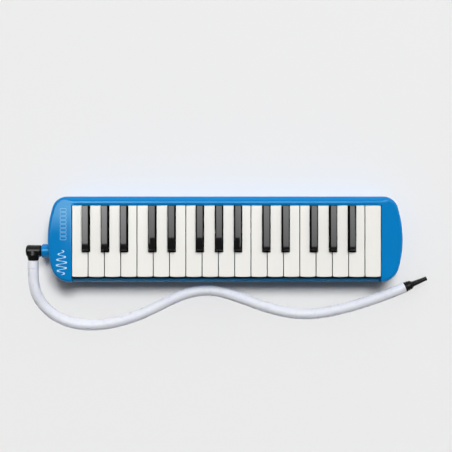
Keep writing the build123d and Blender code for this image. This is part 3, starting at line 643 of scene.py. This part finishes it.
def make_elbow(rounds=10):
    """The elbow as one moulding, with the crease between its body and its outlet blended."""
    plug_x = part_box("blow_socket")[0].x - 0.5 * MM  # the plug past this stays as CAD made it
    piece = from_bmesh("hose_elbow_moulded", clean_copy("hose_elbow"))
    remesh = piece.modifiers.new("skin", "REMESH")
    remesh.mode = "VOXEL"
    remesh.voxel_size = 0.32 * MM
    apply_modifiers(piece)
    bm = bmesh.new()
    bm.from_mesh(piece.data)
    body = [vert for vert in bm.verts if vert.co.x < plug_x]
    for _ in range(rounds):
        bmesh.ops.smooth_vert(bm, verts=body, factor=0.5, use_axis_x=True, use_axis_y=True, use_axis_z=True)
    bm.to_mesh(piece.data)
    bm.free()
    piece.data.shade_smooth()
    return dress(piece, "hose_set", "black_plastic", "hose_elbow")


def make_hose():
    """The hose as one smooth spline with the route's points as its control points."""
    fittings = [make_elbow(), moulded("hose_cuff", 0.35 * MM), make_mouthpiece()]
    data = bpy.data.curves.new("hose", "CURVE")
    data.dimensions = "3D"
    spline = data.splines.new("NURBS")
    spline.points.add(len(ROUTE) - 1)
    for point, place in zip(spline.points, ROUTE):
        point.co = (*place, 1)
    spline.order_u = 3
    spline.use_endpoint_u = True
    spline.resolution_u = 12
    spline.use_smooth = True
    data.bevel_depth = HOSE_DIAMETER / 2
    data.bevel_resolution = 10
    data.use_fill_caps = True
    hose = add_object("hose", data)
    dress(hose, "hose_set", "hose_plastic", "hose_tube")
    hose.visible_diffuse = False
    return [hose, *fittings]


# ---------------------------------------------------------------- keys and their springs

BOW_DEPTH = 0.45 * MM  # how far the corners of a white key's front stand back
BOW_REACH = 1.8 * MM  # how far behind the front the curve ends
KEY_ROUND = 0.6 * MM  # radius of a white key's top edges


def round_sides(bm, node):
    """Rounds the top edges along both sides of a white key, all the way to its rear."""
    low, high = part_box(node)
    for side, inward in ((low.x, 1), (high.x, -1)):
        for turn in (18, 36, 54, 72, 90):
            inset = KEY_ROUND * (1 - math.cos(math.radians(turn)))
            place = (side + inward * inset, 0, 0)
            geometry = bm.verts[:] + bm.edges[:] + bm.faces[:]
            bmesh.ops.bisect_plane(bm, geom=geometry, dist=1e-7, plane_co=place, plane_no=(1, 0, 0))
    for vert in bm.verts:
        outward = KEY_ROUND - max(0, min(vert.co.x - low.x, high.x - vert.co.x))
        if outward > 0:
            vert.co.z = min(vert.co.z, high.z - KEY_ROUND + math.sqrt(KEY_ROUND**2 - outward**2))


def bow_front(bm, node):
    """Curves the front of a white key, so that its two corners stand back from its middle."""
    low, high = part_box(node)
    middle, half = (low.x + high.x) / 2, (high.x - low.x) / 2
    for step in range(-3, 4):
        near = [face for face in bm.faces if min(vert.co.y for vert in face.verts) < low.y + BOW_REACH]
        geometry = {item for face in near for item in (face, *face.edges, *face.verts)}
        place = (middle + step * half / 4, 0, 0)
        bmesh.ops.bisect_plane(bm, geom=list(geometry), dist=1e-7, plane_co=place, plane_no=(1, 0, 0))
    for vert in bm.verts:
        share = 1 - (vert.co.y - low.y) / BOW_REACH
        if share > 0:
            vert.co.y += BOW_DEPTH * share * ((vert.co.x - middle) / half) ** 2


def shape_white_key(bm, node):
    round_sides(bm, node)
    bow_front(bm, node)


def make_keys():
    for node in WHITE_KEYS:
        moulded(node, 0.3 * MM, reshape=shape_white_key)
    for node in BLACK_KEYS:
        moulded(node, 0.25 * MM)


SPRING_THICK = 0.4 * MM
SPRING_WIDTH = 4.6 * MM
SPRING_LINE = [  # y and z, in millimetres, of the underside of a leaf from the strip to its tip
    (7.4, 19.0),
    (5.6, 19.7),
    (3.6, 20.9),
    (1.4, 22.5),
    (-0.8, 24.2),
    (-2.6, 25.6),
    (-4.0, 26.7),
    (-5.0, 27.2),
    (-6.4, 27.3),
    (-7.4, 27.1),
]


def pad_x(node):
    """The middle of the rubber pad under a key's tail, which is where its spring lies too."""
    low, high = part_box("key_springs")
    places = [vert.co.x for vert in NODES[node].data.vertices if vert.co.z < low.z + 1.5 * MM]
    return sum(places) / len(places)


def make_spring_strip():
    """The strip that joins the leaf springs: the CAD comb without its leaves."""
    bm = clean_copy("key_springs")
    geometry = bm.verts[:] + bm.edges[:] + bm.faces[:]
    root = (0, SPRING_LINE[0][0] * MM, 0)
    bmesh.ops.bisect_plane(bm, geom=geometry, plane_co=root, plane_no=(0, -1, 0), clear_outer=True)
    bmesh.ops.holes_fill(bm, edges=[edge for edge in bm.edges if edge.is_boundary])
    dress(from_bmesh("key_spring_strip", bm), "casing", "spring_steel", "key_springs")


def make_leaf_springs():
    """One leaf under each key, between the case and the key."""
    for node in WHITE_KEYS + BLACK_KEYS:
        x = pad_x(node)
        bm = bmesh.new()
        rows = []
        for i, (y, z) in enumerate(SPRING_LINE):
            half = SPRING_WIDTH / 2 * (1 - 0.25 * i / (len(SPRING_LINE) - 1))
            corners = ((-half, 0), (half, 0), (half, SPRING_THICK), (-half, SPRING_THICK))
            rows.append([bm.verts.new((x + dx, y * MM, z * MM + dz)) for dx, dz in corners])
        for near, far in zip(rows, rows[1:]):
            for a in range(4):
                b = (a + 1) % 4
                bm.faces.new((near[a], near[b], far[b], far[a]))
        bm.faces.new(rows[0])
        bm.faces.new(rows[-1])
        leaf = from_bmesh(node.replace("key", "leaf_spring"), bm)
        leaf.data.materials.append(MATERIALS["spring_steel"])
        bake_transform(leaf)


# ---------------------------------------------------------------- case and what is fastened to it


def facing_out(edge):
    """Whether one of the edge's faces is upright and turned away from the case's middle."""
    place = (edge.verts[0].co + edge.verts[1].co) / 2
    away = Vector((place.x - CASE_X, place.y, 0))
    return any(abs(face.normal.z) < 0.1 and face.normal.dot(away) > 0 for face in edge.link_faces)


def on_seam(edge):
    """Whether an edge lies on the outside of the joint between the two case halves."""
    middle = (edge.verts[0].co + edge.verts[1].co) / 2
    on_level = all(abs(vert.co.z - SPLIT_Z) < 0.01 * MM for vert in edge.verts)
    at_side = abs(middle.y) > CASE_HIGH.y - 1 * MM
    at_end = abs(middle.x - CASE_X) > (CASE_HIGH.x - CASE_LOW.x) / 2 - 10 * MM
    return on_level and (at_side or at_end) and facing_out(edge)


def on_lip(edge):
    """Whether an edge runs along the top of the lip in front of the keys."""
    key_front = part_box("white_key_f_3")[0].y
    on_level = all(abs(vert.co.z - SPLIT_Z) < 0.01 * MM for vert in edge.verts)
    return on_level and all(CASE_LOW.y + 1 * MM < vert.co.y < key_front for vert in edge.verts)


RAIL_FRONT = 41.0 * MM
RAIL_CREST = 44.0 * MM
RAIL_CUT = 0.7 * MM  # the spacing of the cuts across its curve
RAIL_FALL = {"front": 120, "rear": 60}  # how fast the rail falls from its crest, per metre
FALL_STARTS = {"front": 7 * MM, "rear": 9 * MM}  # over how much of its length the fall sets in


def crown_rail(bm, node):
    """Gives the rail behind the keys a crest, with its top falling to the front and to the rear."""
    opening = [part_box(WHITE_KEYS_IN_ORDER[0])[0].x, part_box(WHITE_KEYS_IN_ORDER[-1])[1].x]
    cuts = [((0, RAIL_FRONT + step * RAIL_CUT, 0), (0, 1, 0)) for step in range(1, 8)]
    for end, inward in zip(opening, (1, -1)):
        cuts += [((end + inward * step * MM, 0, 0), (1, 0, 0)) for step in (-8, -6, -4, -2, 1, 3, 5, 7)]
    for place, normal in cuts:
        geometry = bm.verts[:] + bm.edges[:] + bm.faces[:]
        bmesh.ops.bisect_plane(bm, geom=geometry, dist=1e-7, plane_co=place, plane_no=normal)
    for vert in bm.verts:
        x, y, z = vert.co
        rise = (z - CASE_TOP) / TOP_ROUND + 1
        underside = z < CASE_TOP - 2 * MM and y < CASE_HIGH.y - 2.1 * MM
        if rise <= 0 or y < RAIL_FRONT - 0.01 * MM or underside:
            continue
        inside = min(x - opening[0], opening[1] - x)
        if y < RAIL_CREST:
            share = smoothstep(inside / FALL_STARTS["front"])
            depth = RAIL_FALL["front"] * (RAIL_CREST - y) ** 2 * share
        else:
            share = smoothstep(inside / FALL_STARTS["rear"] + 1)
            depth = RAIL_FALL["rear"] * (y - RAIL_CREST) ** 2 * share
        vert.co.z -= depth * rise


def make_case():
    moulded("lower_case", 0.3 * MM, lambda edge: on_seam(edge) or on_lip(edge))
    moulded("upper_cover", 0.3 * MM, on_seam, crown_rail)
    moulded("blow_socket", 0.4 * MM)


def make_fasteners():
    for node, width in (
        ("case_screws", 0.35),
        ("chamber_screws", 0.35),
        ("strap_screws", 0.35),
        ("reed_plate_screws", 0.2),
        ("drain_button", 0.3),
        ("strap_anchors", 0.5),
    ):
        moulded(node, width * MM, on_rim if node.endswith("screws") else lambda edge: True)


def on_rim(edge):
    """Whether an edge is one of the short ones that make up a screw's rims, and not of its slots."""
    return edge.calc_length() < 1.2 * MM


def make_drain_spring(turns=3.5, wire=0.28 * MM, steps=168):
    """The wire coil that holds the drain button shut."""
    low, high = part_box("drain_spring")
    middle = (low + high) / 2
    radius = (high.x - low.x) / 2 - wire
    data = bpy.data.curves.new("drain_spring_wire", "CURVE")
    data.dimensions = "3D"
    data.bevel_depth = wire
    data.bevel_resolution = 3
    data.use_fill_caps = True
    spline = data.splines.new("POLY")
    spline.points.add(steps)
    for i, point in enumerate(spline.points):
        share = i / steps
        turn = math.tau * turns * share
        climb = min(1, max(0, share * 1.3 - 0.15))  # the coil starts and ends with a flat stretch
        rise = low.z + wire + (high.z - low.z - 2 * wire) * climb
        point.co = (middle.x + math.cos(turn) * radius, middle.y + math.sin(turn) * radius, rise, 1)
    piece = add_object("drain_spring_wire", data)
    depsgraph = bpy.context.evaluated_depsgraph_get()
    mesh = bpy.data.meshes.new_from_object(piece.evaluated_get(depsgraph))
    bpy.data.objects.remove(piece)
    piece = dress(add_object("drain_spring_coil", mesh), "casing", "spring_steel", "drain_spring")
    mesh.shade_smooth()
    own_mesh(piece)


# ---------------------------------------------------------------- hand strap


STRAP_CAD_THICK = 1.6 * MM
STRAP_RUN = 64.5 * MM  # half the length of its low flat run
STRAP_CLIMB = 16 * MM  # from the end of that run to the anchor's pad
SELVEDGE = 0.75 * MM  # half the width of the bead along each edge


def strap_height(x):
    """Height of the middle of the webbing at x: on the anchors' pads, then down to a low flat run."""
    low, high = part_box("hand_strap")
    top, bottom = high.z - STRAP_CAD_THICK / 2, low.z + STRAP_CAD_THICK / 2
    return bottom + (top - bottom) * smoothstep((abs(x - CASE_X) - STRAP_RUN) / STRAP_CLIMB)


def make_strap(length_steps=180, thick=1.4 * MM):
    """Webbing with rolled selvedges, held under its two anchors."""
    low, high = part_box("hand_strap")
    middle_y, half_width = (low.y + high.y) / 2, (high.y - low.y) / 2
    flat_half = half_width - 0.8 * MM  # half the width between the two selvedges
    flat_height = thick / 2 * 0.86
    bm = bmesh.new()
    section = []
    for i in range(9):
        section.append((-flat_half + 2 * flat_half * i / 8, flat_height))
    for turn in (60, 30, 0, -30, -60):
        angle = math.radians(turn)
        bead = half_width - SELVEDGE
        section.append((bead + math.cos(angle) * SELVEDGE, math.sin(angle) * thick / 2))
    section += [(-y, -z) for y, z in section]
    rows = []
    for i in range(length_steps + 1):
        x = low.x + (high.x - low.x) * i / length_steps
        rows.append([bm.verts.new((x, middle_y + y, strap_height(x) + z)) for y, z in section])
    for near, far in zip(rows, rows[1:]):
        for a in range(len(section)):
            b = (a + 1) % len(section)
            bm.faces.new((near[a], near[b], far[b], far[a]))
    bm.faces.new(rows[0])
    bm.faces.new(rows[-1])
    dress(from_bmesh("hand_strap_webbing", bm, 60), "casing", "strap_webbing", "hand_strap")


def make_stitching():
    """A stitched box with a cross in it, on the underside of the webbing beside each anchor."""
    low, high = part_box("hand_strap")
    middle_y = (low.y + high.y) / 2
    box_x = 56 * MM  # from the case's middle to the middle of each box
    sunk = 0.62 * MM  # from the webbing's middle down to the thread
    long_half, wide_half, stitch, thread = 6 * MM, 11 * MM, 2.0 * MM, 0.22 * MM
    corners = [(-long_half, -wide_half), (long_half, -wide_half), (long_half, wide_half)]
    corners.append((-long_half, wide_half))
    lines = list(zip(corners, corners[1:] + corners[:1]))
    lines += [(corners[0], corners[2]), (corners[1], corners[3])]
    for side, label in ((-1, "low"), (1, "high")):
        centre = Vector((CASE_X + side * box_x, middle_y))
        bm = bmesh.new()
        for begin, finish in lines:
            begin, finish = Vector(begin), Vector(finish)
            count = round((finish - begin).length / stitch)
            for i in range(count):
                shares = ((i + 0.14) / count, (i + 0.86) / count)
                places = [centre + begin.lerp(finish, share) for share in shares]
                ends = [(*place, strap_height(place.x) - sunk) for place in places]
                add_capsule(bm, *ends, thread)
        piece = from_bmesh(f"strap_stitches_{label}", bm, 80)
        dress(piece, "casing", "strap_webbing")
        piece.data.materials[0] = THREAD


# ---------------------------------------------------------------- prints on the left cap

THREAD = print_ink("sewing_thread", (0.09, 0.09, 0.095, 1), (0.05, 0.05, 0.055, 1))
STRONG_INK = print_ink("white_ink", (0.55, 0.80, 0.90, 1), (0.45, 0.72, 0.84, 1))
FADED_INK = print_ink("faded_ink", (0.30, 0.55, 0.78, 1), (0.20, 0.45, 0.70, 1))
INK_LEVELS = (CASE_TOP - 0.02 * MM, CASE_TOP + 0.02 * MM)


def dress_print(name, bm, ink):
    piece = dress(from_bmesh(name, bm, 80), "casing", "cuff_plastic")
    piece.data.materials[0] = ink


def make_wave_print(steps=150, waves=4.5):
    """A flowing sound wave along the cap: thick on its crests, thin where it crosses the middle."""
    x_middle, swing = CASE_X - 196.4 * MM, 6.2 * MM
    thin, thick = 0.45, 1.4
    y_start, y_end = -42.6 * MM, -12.6 * MM
    points, widths = [], []
    for i in range(steps + 1):
        share = i / steps
        turn = math.tau * waves * share
        swell = 0.35 + 0.65 * math.sin(math.pi * share**0.8)
        points.append((x_middle + swing * swell * math.sin(turn), y_start + (y_end - y_start) * share))
        widths.append((thin + (thick - thin) * math.sin(turn) ** 2) * MM)
    bm = bmesh.new()
    add_stroke(bm, points, widths, INK_LEVELS)
    dress_print("cap_print_wave", bm, STRONG_INK)


def make_key_print(count=8):
    """A row of small outlined keys along the rear half of the cap."""
    x_range, y_range = (-198.0 * MM, -190.8 * MM), (-1.0 * MM, 37.9 * MM)
    pitch = (y_range[1] - y_range[0]) / count
    half = Vector(((x_range[1] - x_range[0]) / 2, pitch / 2 - 0.6 * MM))
    corner = 1.0 * MM
    bm = bmesh.new()
    for i in range(count):
        middle = Vector((CASE_X + sum(x_range) / 2, y_range[0] + pitch * (i + 0.5)))
        outline = []
        for quarter, (sx, sy) in enumerate(((1, 1), (-1, 1), (-1, -1), (1, -1))):
            centre = middle + Vector((sx * (half.x - corner), sy * (half.y - corner)))
            for step in range(5):
                turn = math.radians(90 * quarter + 22.5 * step)
                outline.append(centre + corner * Vector((math.cos(turn), math.sin(turn))))
        add_stroke(bm, outline, [0.5 * MM] * len(outline), INK_LEVELS, closed=True)
    dress_print("cap_print_keys", bm, FADED_INK)


# ---------------------------------------------------------------- the instrument


def dress_cad_nodes():
    """Every CAD node that stays gets its slot's material."""
    for node in NODES.values():
        slot = node.data.materials[0].name.split(".")[0]
        if slot in MATERIALS:
            node.data.materials[0] = MATERIALS[slot]


SOFTBOXES = [  # name, x and y ranges of the image in metres, radiance, fade, whether for gloss
    ("left_box", (-0.43, -0.179), (0.014, 0.56), (5.0, 5.0), (0, 0.016), True),
    ("main_box_1", (-0.179, -0.09), (-0.0055, 0.56), (5.8, 4.4), (0.62, 0.045), True),
    ("main_box_2", (-0.09, 0.024), (0.002, 0.56), (3.7, 3.4), (0.62, 0.04), True),
    ("main_box_3", (0.024, 0.165), (-0.009, 0.56), (3.5, 3.3), (0.62, 0.045), True),
    ("rear_box", (0.165, 0.41), (0.14, 0.56), (2.2, 2.2), (0, 0.06), True),
    ("key_light", (-0.1, 0.48), (0.29, 0.85), (18.6, 18.6), (0, 0.3), False),
]

make_camera()
lights = {}
for name, *facts in SOFTBOXES:
    lights[name] = make_softbox(name, *facts)
make_world(0.1, 0.62, 0.5)
make_floor()
spare_from_shadow(lights["key_light"], make_hose())
make_keys()
make_spring_strip()
make_leaf_springs()
make_case()
make_fasteners()
make_drain_spring()
make_strap()
make_stitching()
make_wave_print()
make_key_print()
dress_cad_nodes()

bpy.context.scene.view_settings.view_transform = "Standard"
